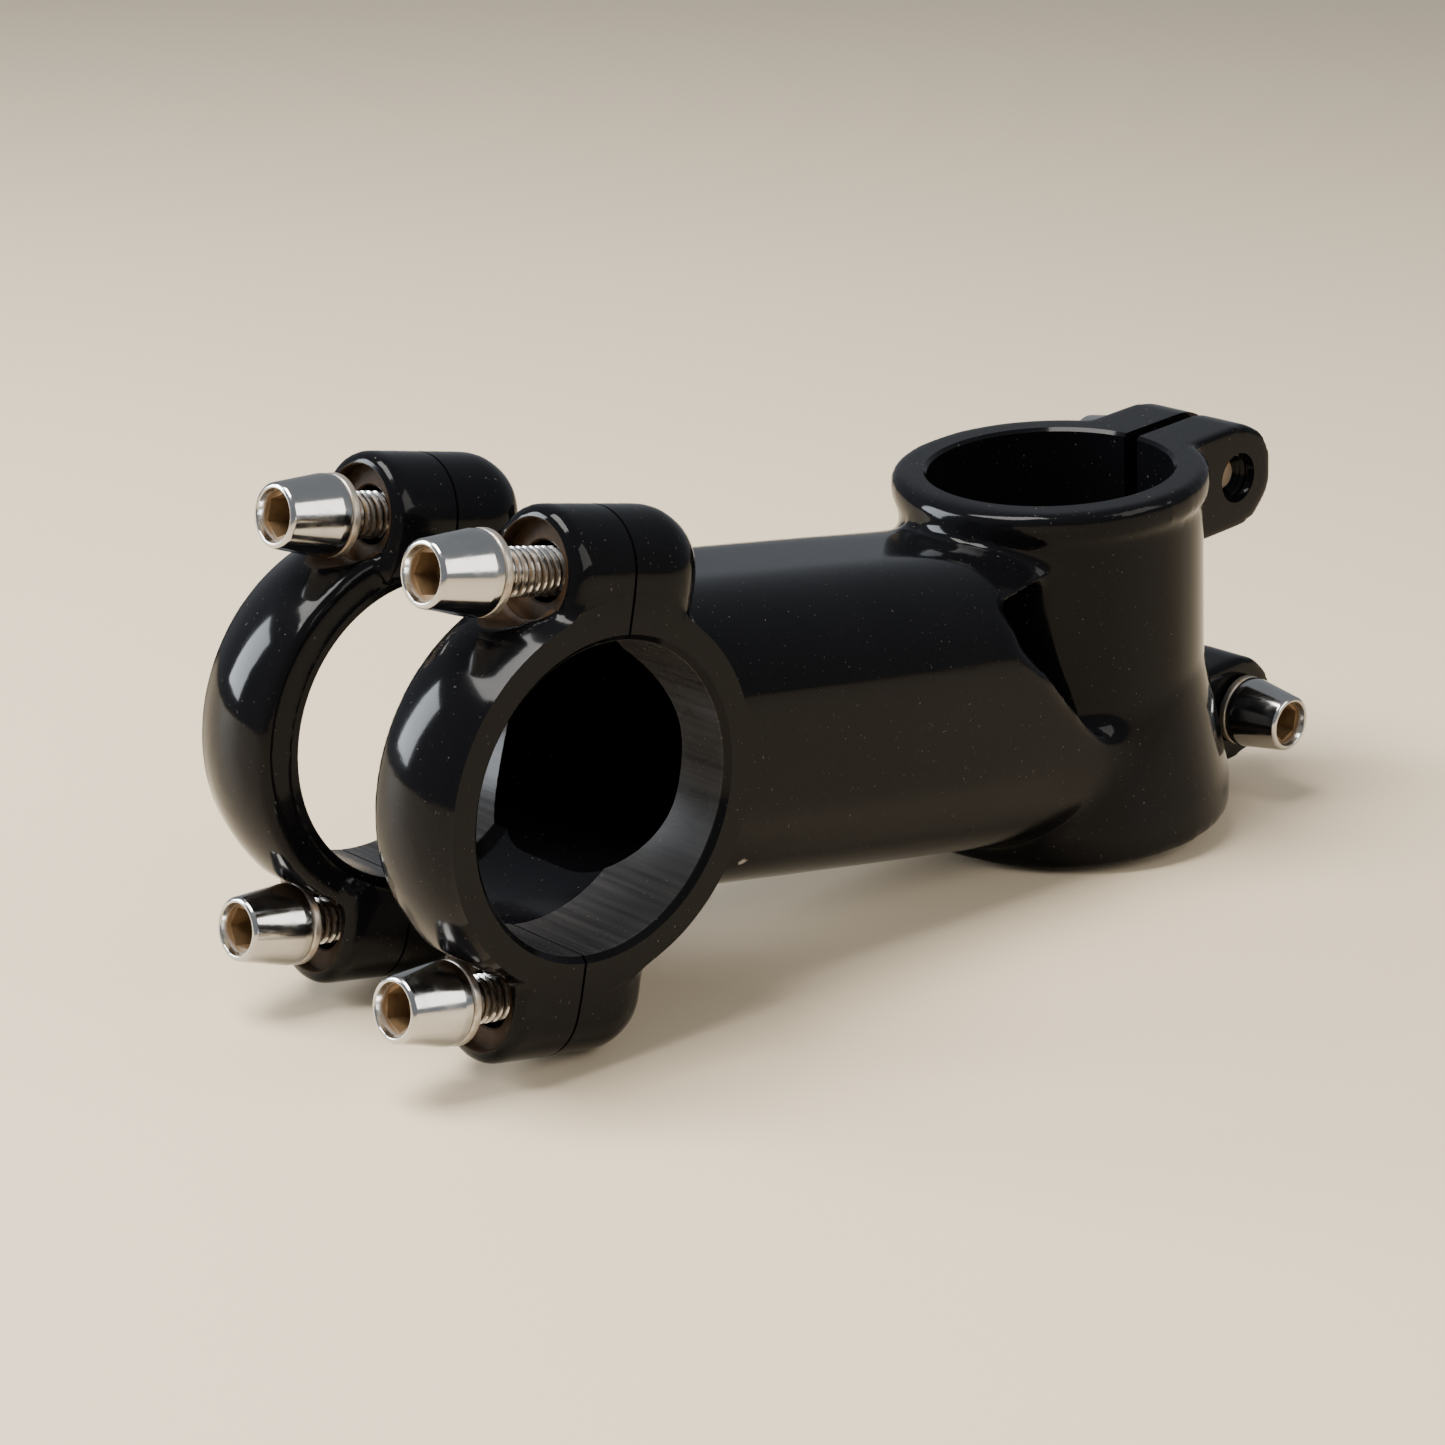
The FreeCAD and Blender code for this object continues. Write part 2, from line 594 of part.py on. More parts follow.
def make_pinch_screws():
    """Two screws across the slot, entering from opposite sides."""
    pieces = []
    for level, height, side in (("upper", PINCH_UPPER_Z, -1), ("lower", PINCH_LOWER_Z, 1)):
        washer_x = f"{PINCH_FACE} + sizes.pinch_slack"
        washer = make_washer(f"pinch_washer_{level}")
        place_on_pinch_lug(washer, side, washer_x, height)
        screw = make_screw(f"pinch_bolt_{level}", "sizes.pinch_screw_length")
        place_on_pinch_lug(screw, side, f"{washer_x} + sizes.washer_thickness", height)
        pieces += [washer, screw]
    return pieces


def export(pieces):
    doc.recompute()
    for item in doc.Objects:
        if "Invalid" in item.State or "Error" in item.State:
            raise RuntimeError(f"{item.Label} is {item.State}")
    for piece in pieces:
        if piece.Shape.isNull() or not piece.Shape.isValid() or not piece.Shape.Solids:
            raise RuntimeError(f"{piece.Label} has no valid solid")
    os.makedirs("parts", exist_ok=True)
    for piece in pieces:
        piece.Shape.exportStep(f"parts/{piece.Label}.step")
        print(f"{piece.Label}: {len(piece.Shape.Solids)} solid, {piece.Shape.Volume:.0f} mm3")


stem_pieces = [make_stem_body()]
stem_pieces += [make_faceplate(name, side) for name, side in SIDES]
stem_pieces += make_cap_screws()
stem_pieces += make_pinch_screws()
export(stem_pieces)
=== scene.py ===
import json
import math

import bpy
from mathutils import Matrix, Vector


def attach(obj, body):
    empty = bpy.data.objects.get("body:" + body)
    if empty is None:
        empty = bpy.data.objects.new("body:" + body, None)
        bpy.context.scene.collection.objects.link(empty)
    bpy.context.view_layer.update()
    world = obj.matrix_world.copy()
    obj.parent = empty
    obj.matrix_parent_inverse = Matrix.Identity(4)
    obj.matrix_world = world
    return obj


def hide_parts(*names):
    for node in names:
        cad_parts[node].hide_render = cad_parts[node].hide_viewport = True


# Handlebar stem, in metres, in the frame of its CAD model. The forged pieces are made as in the
# workshop: a forging with soft edges first, and then the machined faces, bores and holes.

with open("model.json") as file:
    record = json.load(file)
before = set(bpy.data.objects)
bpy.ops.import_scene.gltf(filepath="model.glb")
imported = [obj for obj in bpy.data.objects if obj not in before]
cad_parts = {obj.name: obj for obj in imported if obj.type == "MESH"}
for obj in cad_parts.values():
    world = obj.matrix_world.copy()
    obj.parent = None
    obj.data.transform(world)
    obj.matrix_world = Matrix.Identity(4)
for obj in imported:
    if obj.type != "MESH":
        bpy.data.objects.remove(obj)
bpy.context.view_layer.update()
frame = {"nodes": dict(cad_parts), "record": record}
record = frame["record"]

MM = 0.001
mounts = {mount["name"]: mount for mount in record["mounts"]}
joints = {joint["name"]: joint for joint in record["behaviour"]["joints"]}
CLAMP_HEIGHT = mounts["steerer_clamp"]["dims"]["length_mm"] * MM
STEERER_R = mounts["steerer_clamp"]["dims"]["r_mm"] * MM
BAR_R = mounts["handlebar_clamp"]["dims"]["r_mm"] * MM
BAND_OUT = mounts["handlebar_clamp"]["dims"]["length_mm"] / 2 * MM
BAND_IN = 8.6 * MM
BAR_CENTRE = Vector(mounts["handlebar_clamp"]["pos_m"])
FORWARD = Vector(joints["faceplate_left_off"]["axis"]).normalized()
ACROSS = Vector((1, 0, 0))
UP = FORWARD.cross(ACROSS)

# The bar frame: x along the bar, y upwards in the parting plane, z forwards.
BAR_FRAME = Matrix((
    (ACROSS.x, UP.x, FORWARD.x, BAR_CENTRE.x),
    (ACROSS.y, UP.y, FORWARD.y, BAR_CENTRE.y),
    (ACROSS.z, UP.z, FORWARD.z, BAR_CENTRE.z),
    (0, 0, 0, 1),
))
SIDEWAYS = Matrix.Rotation(math.pi / 2, 4, "Y")
HALF_GAP = 0.15 * MM
SCREW_X = 13.65 * MM
SCREW_U = 21.5 * MM
LUG_R = 6.6 * MM
LUG_FRONT = 7.8 * MM
LUG_REAR = 11 * MM
SEAT_N = 6.2 * MM
SEAT_R = 5.2 * MM
CLEAR_R = 3.025 * MM
THREAD_R = 2.475 * MM
TAPPED_R = 2.525 * MM
THREAD_PITCH = 0.8 * MM
PINCH_Y = joints["pinch_upper_turn"]["pos_m"][1]
PINCH_UPPER = joints["pinch_upper_turn"]["pos_m"][2]
PINCH_LOWER = joints["pinch_lower_turn"]["pos_m"][2]
PINCH_R = 6.4 * MM
PINCH_FACE = 8 * MM
HOLLOW_FLOOR = -56.7 * MM
CORNERS = [(side, level) for side in (1, -1) for level in (1, -1)]


# ---- modelling -----------------------------------------------------------------------------

def nothing_selected():
    if bpy.context.object and bpy.context.object.mode != "OBJECT":
        bpy.ops.object.mode_set(mode="OBJECT")
    bpy.ops.object.select_all(action="DESELECT")


def pick(*things):
    """Select these objects; the first is the active one."""
    nothing_selected()
    for thing in things:
        thing.select_set(True)
    bpy.context.view_layer.objects.active = things[0]
    return things[0]


def editing(thing):
    pick(thing)
    bpy.ops.object.mode_set(mode="EDIT")
    bpy.ops.mesh.select_all(action="SELECT")


def settle(thing, matrix):
    """Put a finished shape in its place and leave its object at the origin."""
    pick(thing)
    thing.matrix_world = matrix
    bpy.ops.object.transform_apply(location=True, rotation=True, scale=True)
    return thing


def modify(thing, kind, **settings):
    pick(thing)
    bpy.ops.object.modifier_add(type=kind)
    modifier = thing.modifiers[-1]
    for name, setting in settings.items():
        setattr(modifier, name, setting)
    bpy.ops.object.modifier_apply(modifier=modifier.name)
    return thing


def carve(thing, tool, operation="DIFFERENCE"):
    """Cut, join or keep with a closed tool, which is used up."""
    modify(thing, "BOOLEAN", object=tool, operation=operation, solver="MANIFOLD")
    pick(tool)
    bpy.ops.object.delete()
    return thing


def copy_of(thing, name):
    pick(thing)
    bpy.ops.object.duplicate(linked=False)
    copied = bpy.context.object
    copied.name = name
    return copied


def join(things):
    pick(*things)
    bpy.ops.object.join()
    return things[0]


def rounded(corners, steps=6):
    """A line through corners (x, y, radius), with an arc in each corner that has a radius."""
    line = []
    for index, (x, y, radius) in enumerate(corners):
        here = Vector((x, y))
        if not radius:
            line.append(here)
            continue
        before = (Vector(corners[index - 1][:2]) - here).normalized()
        after = (Vector(corners[(index + 1) % len(corners)][:2]) - here).normalized()
        half = before.angle(after) / 2
        middle = here + (before + after).normalized() * radius / math.sin(half)
        first = here + before * radius / math.tan(half) - middle
        last = here + after * radius / math.tan(half) - middle
        turn = math.pi - 2 * half
        for step in range(steps + 1):
            share = step / steps
            arm = first * math.sin((1 - share) * turn) + last * math.sin(share * turn)
            line.append(middle + arm / math.sin(turn))
    return line


def bend_wire(name, points):
    """One vertex, drawn out through the points."""
    nothing_selected()
    bpy.ops.mesh.primitive_plane_add(size=MM, location=(0, 0, 0))
    wire = bpy.context.object
    wire.name = name
    bpy.ops.object.mode_set(mode="EDIT")
    bpy.ops.mesh.select_all(action="SELECT")
    bpy.ops.mesh.merge(type="CENTER")
    bpy.ops.transform.translate(value=points[0])
    for start, end in zip(points, points[1:]):
        bpy.ops.mesh.extrude_region_move(TRANSFORM_OT_translate={"value": end - start})
    return wire


def close_up():
    """Merge what meets and turn all faces outwards, then leave edit mode."""
    bpy.ops.mesh.select_all(action="SELECT")
    bpy.ops.mesh.remove_doubles(threshold=MM / 1000)
    bpy.ops.mesh.normals_make_consistent(inside=False)
    bpy.ops.object.mode_set(mode="OBJECT")


def turned(name, profile, matrix=None, spokes=96):
    """A solid turned about its own z, from a profile (radius, height) that starts and ends at 0."""
    wire = bend_wire(name, [Vector((radius, 0, height)) for radius, height in profile])
    bpy.ops.mesh.select_all(action="SELECT")
    bpy.ops.mesh.spin(steps=spokes, angle=2 * math.pi, center=(0, 0, 0), axis=(0, 0, 1))
    close_up()
    return settle(wire, matrix or Matrix())


def rod(name, radius, low, high, matrix=None, spokes=64, chamfer=0.0):
    """A round rod between two heights. chamfer flares its upper end by 45 degrees."""
    profile = [(0, low), (radius, low), (radius, high - chamfer), (radius + chamfer, high), (0, high)]
    if not chamfer:
        profile.pop(2)
    return turned(name, profile, matrix, spokes)


def slab(name, low, high, matrix=None):
    """A block between two corners."""
    nothing_selected()
    bpy.ops.mesh.primitive_cube_add(size=1, location=(0, 0, 0))
    block = bpy.context.object
    block.name = name
    size = Vector(high) - Vector(low)
    middle = (Vector(high) + Vector(low)) / 2
    place = Matrix.Translation(middle) @ Matrix.Diagonal((*size, 1))
    return settle(block, (matrix or Matrix()) @ place)


def prism(name, outline, low, high, matrix=None):
    """An outline in x and y, drawn out from one height to another."""
    wire = bend_wire(name, [Vector((point[0], point[1], low)) for point in outline])
    bpy.ops.mesh.select_all(action="SELECT")
    bpy.ops.mesh.edge_face_add()
    bpy.ops.mesh.extrude_region_move(TRANSFORM_OT_translate={"value": (0, 0, high - low)})
    close_up()
    return settle(wire, matrix or Matrix())


def at_screw(side, level):
    """The bar frame moved to one cap screw's axis."""
    return BAR_FRAME @ Matrix.Translation((side * SCREW_X, level * SCREW_U, 0))


def at_pinch(side, height):
    """z points out of one cheek of the steerer clamp, along a pinch screw."""
    outwards = Matrix.Rotation(side * math.pi / 2, 4, "Y")
    return Matrix.Translation((0, PINCH_Y, height)) @ outwards


# ---- the forging ---------------------------------------------------------------------------

def hollow_core(name, spare):
    """The core of the extension: the window at the saddle, tapering to the blind end."""
    width, height, corner = 28 * MM, 26.6 * MM, 10.5 * MM
    half_x, half_y = width / 2 + spare, height / 2 + spare
    outline = rounded([
        (half_x, half_y, corner), (-half_x, half_y, corner),
        (-half_x, -half_y, corner), (half_x, -half_y, corner),
    ], steps=12)
    core = prism(name, outline, -spare, HOLLOW_FLOOR - spare)
    bpy.ops.object.mode_set(mode="OBJECT")
    for vertex in core.data.vertices:
        vertex.select = vertex.co.z < HOLLOW_FLOOR / 2
    for thing in (core.data.edges, core.data.polygons):
        for item in thing:
            item.select = False
    bpy.ops.object.mode_set(mode="EDIT")
    bpy.ops.mesh.select_mode(type="VERT")
    bpy.ops.transform.resize(value=(25 / 28, 1, 1), center_override=(0, 0, HOLLOW_FLOOR))
    bpy.ops.transform.translate(value=(0, 3.5 * MM, 0))
    bpy.ops.object.mode_set(mode="OBJECT")
    return settle(core, BAR_FRAME)


def forging():
    """The whole stem and both caps in one soft-edged piece, before anything is machined."""
    blanks = []
    for node in ("stem_body", "faceplate_left", "faceplate_right"):
        blank = copy_of(frame["nodes"][node], "blank_" + node)
        editing(blank)
        bpy.ops.mesh.remove_doubles(threshold=MM / 1000)
        bpy.ops.object.mode_set(mode="OBJECT")
        blanks.append(blank)
    bar_across = BAR_FRAME @ SIDEWAYS
    blanks.append(rod("fill", BAR_R + 0.3 * MM, -BAND_OUT, BAND_OUT, bar_across))
    for side in (1, -1):
        low, high = sorted((side * (BAND_OUT - 1 * MM), side * (BAND_OUT + 1.2 * MM)))
        blanks.append(rod("fill", BAR_R + 3.35 * MM, low, high, bar_across))
    for side, level in CORNERS:
        blanks.append(rod("fill", 5.4 * MM, -LUG_REAR + 1.5 * MM, LUG_FRONT, at_screw(side, level)))
        blanks.append(rod("fill", LUG_R - 0.1 * MM, -1 * MM, 1 * MM, at_screw(side, level)))
        inner, outer = sorted((0, -level * 7 * MM))
        low = (0.1 * MM - LUG_R, inner, -1 * MM)
        blanks.append(slab("fill", low, (LUG_R - 0.1 * MM, outer, 1 * MM), at_screw(side, level)))
    blanks.append(hollow_core("fill", 0.4 * MM))
    blanks.append(rod("fill", STEERER_R + 0.3 * MM, 0, CLAMP_HEIGHT))
    rear = STEERER_R + 3.3 * MM
    blanks.append(slab("fill", (-1.4 * MM, 10 * MM, 0), (1.4 * MM, rear, CLAMP_HEIGHT)))
    for height in (PINCH_UPPER, PINCH_LOWER):
        blanks.append(rod("fill", PINCH_R - 0.05 * MM, -1.4 * MM, 1.4 * MM, at_pinch(1, height)))
        low = (-1.4 * MM, 10 * MM, height - PINCH_R + 0.05 * MM)
        blanks.append(slab("fill", low, (1.4 * MM, PINCH_Y, height + PINCH_R - 0.05 * MM)))
        blanks.append(rod("fill", 3.3 * MM, -PINCH_FACE, PINCH_FACE, at_pinch(1, height)))
    forged = join(blanks)
    modify(forged, "REMESH", mode="VOXEL", voxel_size=0.5 * MM)
    modify(forged, "SMOOTH", factor=0.5, iterations=12)
    for side in (1, -1):
        soften(forged, "waist", Vector((side * 16 * MM, -15 * MM, 24 * MM)), 17 * MM, 9 * MM, 110)
    soften(forged, "under_collar", Vector((0, -21 * MM, 35 * MM)), 15 * MM, 8 * MM, 60)
    soften(forged, "under_base", Vector((0, -24 * MM, 4 * MM)), 16 * MM, 7 * MM, 60)
    for side, level in CORNERS:
        root = BAR_FRAME @ Vector((side * SCREW_X, level * 19 * MM, -9.5 * MM))
        soften(forged, "lug_root", root, 9 * MM, 4 * MM, 35)
    return forged


def soften(thing, name, centre, reach, full, rounds):
    """Smooth the shape round a centre: wholly within one distance, and fading out to another."""
    group = thing.vertex_groups.new(name=name)
    for vertex in thing.data.vertices:
        apart = (vertex.co - centre).length
        if apart < reach:
            group.add([vertex.index], min(1.0, (reach - apart) / (reach - full)), "REPLACE")
    modify(thing, "SMOOTH", factor=0.5, iterations=rounds, vertex_group=group.name)
    thing.vertex_groups.clear()


def bore_tool():
    """The bar bore, flared by a small chamfer at the outer face of each band."""
    edge = 0.7 * MM
    flare = 2 * MM
    profile = [(0, -BAND_OUT - flare), (BAR_R + edge + flare, -BAND_OUT - flare)]
    profile += [(BAR_R, -BAND_OUT + edge), (BAR_R, BAND_OUT - edge)]
    profile += [(BAR_R + edge + flare, BAND_OUT + flare), (0, BAND_OUT + flare)]
    return turned("bore_tool", profile, BAR_FRAME @ SIDEWAYS, 160)


def thread_tool(name, radius, low, high, matrix):
    """A tapped hole: a turned row of thread roots, with a chamfered mouth at its upper end."""
    profile = [(0, low)]
    height = low
    while height < high - THREAD_PITCH:
        profile += [(radius - 0.2 * MM, height), (radius + 0.15 * MM, height + THREAD_PITCH / 2)]
        height += THREAD_PITCH
    profile += [(radius, height), (radius + 0.5 * MM, high), (radius + 0.5 * MM, high + MM)]
    profile.append((0, high + MM))
    return turned(name, profile, matrix, 40)


def machine_body(forged):
    body = copy_of(forged, "stem_forging")
    far = 60 * MM
    carve(body, slab("tool", (-far, -far, -HALF_GAP), (far, far, far), BAR_FRAME))
    for side in (1, -1):
        low, high = sorted((side * BAND_OUT, side * far))
        carve(body, slab("tool", (low, -22 * MM, -30 * MM), (high, 22 * MM, far), BAR_FRAME))
    carve(body, bore_tool())
    relief = BAR_R + 1.1 * MM
    profile = [(0, -BAND_IN - 0.4 * MM), (BAR_R - 0.1 * MM, -BAND_IN - 0.4 * MM)]
    profile += [(relief, -BAND_IN + 0.6 * MM), (relief, BAND_IN - 0.6 * MM)]
    profile += [(BAR_R - 0.1 * MM, BAND_IN + 0.4 * MM), (0, BAND_IN + 0.4 * MM)]
    carve(body, turned("tool", profile, BAR_FRAME @ SIDEWAYS, 160))
    carve(body, hollow_core("tool", 0))
    edge = 0.4 * MM
    profile = [(0, -MM), (STEERER_R + edge + MM, -MM), (STEERER_R, edge)]
    profile += [(STEERER_R, CLAMP_HEIGHT - edge), (STEERER_R + edge + MM, CLAMP_HEIGHT + MM)]
    carve(body, turned("tool", profile + [(0, CLAMP_HEIGHT + MM)], None, 160))
    carve(body, slab("tool", (-MM, 0, -far), (MM, far, 2 * far)))
    for side, level in CORNERS:
        tool = thread_tool("tool", TAPPED_R, -LUG_REAR - MM, -HALF_GAP, at_screw(side, level))
        carve(body, tool)
    for head_side, height in ((-1, PINCH_UPPER), (1, PINCH_LOWER)):
        place = at_pinch(head_side, height)
        carve(body, rod("tool", CLEAR_R, 0, PINCH_FACE + 0.4 * MM, place, 48, 0.8 * MM))
        place = at_pinch(-head_side, height)
        carve(body, thread_tool("tool", TAPPED_R, 0, PINCH_FACE, place))
    return body


def groove_tool(side):
    """A shallow groove round the front of a band, near its inner edge."""
    inner, outer = side * 9.6 * MM, side * 9.95 * MM
    start = math.radians(180 - 56)
    wire = bend_wire("tool", [
        Vector((radius * math.cos(start), radius * math.sin(start), height))
        for radius, height in (
            (19.92 * MM, inner), (22 * MM, inner), (22 * MM, outer), (19.92 * MM, outer),
        )
    ])
    bpy.ops.mesh.select_all(action="SELECT")
    bpy.ops.mesh.edge_face_add()
    sweep = math.radians(112)
    bpy.ops.mesh.spin(steps=72, angle=sweep, center=(0, 0, 0), axis=(0, 0, 1))
    close_up()
    return settle(wire, BAR_FRAME @ SIDEWAYS)


def machine_cap(forged, name, side):
    cap = copy_of(forged, name)
    far = 60 * MM
    low, high = sorted((side * 6.5 * MM, side * BAND_OUT))
    carve(cap, slab("tool", (low, -far, HALF_GAP), (high, far, far), BAR_FRAME), "INTERSECT")
    carve(cap, bore_tool())
    carve(cap, rod("tool", BAR_R + 0.9 * MM, -BAND_IN, BAND_IN, BAR_FRAME @ SIDEWAYS, 160))
    carve(cap, groove_tool(side))
    for level in (1, -1):
        place = at_screw(side, level)
        carve(cap, rod("tool", SEAT_R, SEAT_N, LUG_FRONT + 0.2 * MM, place, 64, 0.4 * MM))
        carve(cap, rod("tool", CLEAR_R, -MM, SEAT_N + 0.3 * MM, place, 48, 0.5 * MM))
    return cap


# ---- screws and washers --------------------------------------------------------------------

def worn(thing, amount):
    """Store how grimy each point is, from its radius and height about the piece's own z."""
    layer = thing.data.attributes.new(name="grime", type="FLOAT", domain="POINT")
    for vertex, item in zip(thing.data.vertices, layer.data):
        item.value = amount(math.hypot(vertex.co.x, vertex.co.y), vertex.co.z)
    return thing


def make_screw(name, shank):
    """M5 screw with a tapered head, a hex socket and a rolled thread."""
    head, tall = 4.25 * MM, 6.85 * MM
    profile = rounded([
        (0, -shank, 0), (1.6 * MM, -shank, 0), (2.05 * MM, 0.5 * MM - shank, 0),
        (2.05 * MM, 0, 0), (head, 0, 0.25 * MM), (head, 1.1 * MM, 0.5 * MM),
        (3.3 * MM, tall, 0.5 * MM), (2.75 * MM, tall, 0.15 * MM), (2.45 * MM, tall - MM, 0),
        (0, tall - MM, 0),
    ], steps=5)
    screw = turned(name, profile, None, 72)
    corner = 2 / math.cos(math.pi / 6) * MM
    turns = [math.radians(60 * step) for step in range(6)]
    hexagon = [(corner * math.cos(turn), corner * math.sin(turn)) for turn in turns]
    carve(screw, prism("tool", hexagon, tall - 3.6 * MM, tall + MM))
    drill = [(0, tall - 4.6 * MM), (1.9 * MM, tall - 3.5 * MM), (0, tall - 3.4 * MM)]
    carve(screw, turned("tool", drill, None, 36))
    rounds = int((shank - 1.6 * MM) / THREAD_PITCH)
    root, crest = 1.9 * MM, THREAD_R
    bottom = 0.5 * MM - shank
    tooth = bend_wire("tooth", [
        Vector((root, 0, bottom)), Vector((crest, 0, bottom + 0.3 * MM)),
        Vector((crest, 0, bottom + 0.4 * MM)), Vector((root, 0, bottom + 0.7 * MM)),
        Vector((root, 0, bottom)),
    ])
    bpy.ops.mesh.select_all(action="SELECT")
    bpy.ops.mesh.remove_doubles(threshold=MM / 1000)
    bpy.ops.object.mode_set(mode="OBJECT")
    modify(tooth, "SCREW", angle=2 * math.pi, screw_offset=THREAD_PITCH, iterations=rounds,
           steps=24, render_steps=24, use_merge_vertices=False)
    editing(tooth)
    bpy.ops.mesh.fill_holes(sides=0)
    close_up()
    carve(screw, tooth, "UNION")

    def grime(radius, height):
        if height < -0.05 * MM:
            return 0.75 if radius < 2.3 * MM else 0.35
        if radius < 2.7 * MM:
            return 0.95
        return 0.3 if height < 0.5 * MM else 0.08

    return worn(screw, grime)


def make_washer(name):
    bore, rim, thick, soft = 2.65 * MM, 4.3 * MM, 0.9 * MM, 0.15 * MM
    profile = rounded([
        (bore, 0, soft), (rim, 0, soft), (rim, thick, soft * 1.6), (bore, thick, soft),
    ], steps=4)
    wire = bend_wire(name, [Vector((point[0], 0, point[1])) for point in profile + profile[:1]])
    bpy.ops.mesh.select_all(action="SELECT")
    bpy.ops.mesh.spin(steps=72, angle=2 * math.pi, center=(0, 0, 0), axis=(0, 0, 1))
    close_up()
    return worn(wire, lambda radius, height: 0.9 if radius < 3.4 * MM else 0.6)


def stand_at(joint_name, lift, turn):
    """The place of a screw or washer: on its joint's axis, lifted along it and turned about it."""
    joint = joints[joint_name]
    facing = Vector(joint["axis"]).to_track_quat("Z", "Y").to_matrix().to_4x4()
    spot = Matrix.Translation(Vector(joint["pos_m"]) + Vector(joint["axis"]) * lift)
    return spot @ facing @ Matrix.Rotation(math.radians(turn), 4, "Z")


# ---- finishes ------------------------------------------------------------------------------

class Wire:
    """One value in a material. Arithmetic on it adds the Math nodes."""

    def __init__(self, finish, socket):
        self.finish = finish
        self.socket = socket

    def __add__(self, other):
        return self.finish.maths("ADD", self, other)

    def __radd__(self, other):
        return self.finish.maths("ADD", other, self)

    def __sub__(self, other):
        return self.finish.maths("SUBTRACT", self, other)

    def __rsub__(self, other):
        return self.finish.maths("SUBTRACT", other, self)

    def __mul__(self, other):
        return self.finish.maths("MULTIPLY", self, other)

    def __rmul__(self, other):
        return self.finish.maths("MULTIPLY", other, self)


class Finish:
    """A material and the nodes that make it."""

    def __init__(self, name, **constants):
        self.material = bpy.data.materials.new(name)
        self.material.use_nodes = True
        self.tree = self.material.node_tree
        self.shader = self.tree.nodes["Principled BSDF"]
        for socket, constant in constants.items():
            self.shader.inputs[socket.replace("_", " ")].default_value = constant
        self.place = self.node("TexCoord", output="Object")

    def node(self, kind, settings=None, sockets=None, output=0):
        """Add a node, make its settings, then fill its sockets. Gives the wanted output."""
        made = self.tree.nodes.new("ShaderNode" + kind)
        for name, setting in (settings or {}).items():
            setattr(made, name, setting)
        for name, entry in (sockets or {}).items():
            if isinstance(entry, Wire):
                self.tree.links.new(entry.socket, made.inputs[name])
            else:
                made.inputs[name].default_value = entry
        return Wire(self, made.outputs[output])

    def maths(self, operation, first, second=0.0):
        return self.node("Math", {"operation": operation}, {0: first, 1: second})

    def fade(self, wire, low, high):
        """A smooth step from 0 to 1, as a value goes from one number to another."""
        sockets = {"Value": wire, "From Min": low, "From Max": high}
        return self.node("MapRange", {"interpolation_type": "SMOOTHSTEP"}, sockets)

    def noise(self, scale, detail=3.0, at=None):
        sockets = {"Vector": at or self.place, "Scale": scale, "Detail": detail}
        return self.node("TexNoise", None, sockets)

    def mix(self, factor, first, second):
        """Blend two colours."""
        settings = {"data_type": "RGBA"}
        return self.node("Mix", settings, {0: factor, 6: first, 7: second}, output=2)

    def along(self, direction, origin):
        """How far each point lies from an origin in one direction."""
        moved = self.node("VectorMath", {"operation": "SUBTRACT"}, {0: self.place, 1: origin})
        sockets = {0: moved, 1: tuple(direction)}
        return self.node("VectorMath", {"operation": "DOT_PRODUCT"}, sockets, output="Value")

    def wear(self, strength, distance, height):
        sockets = {"Strength": strength, "Distance": distance, "Height": height}
        self.feed("Normal", self.node("Bump", None, sockets))

    def feed(self, socket, wire):
        self.tree.links.new(wire.socket, self.shader.inputs[socket])


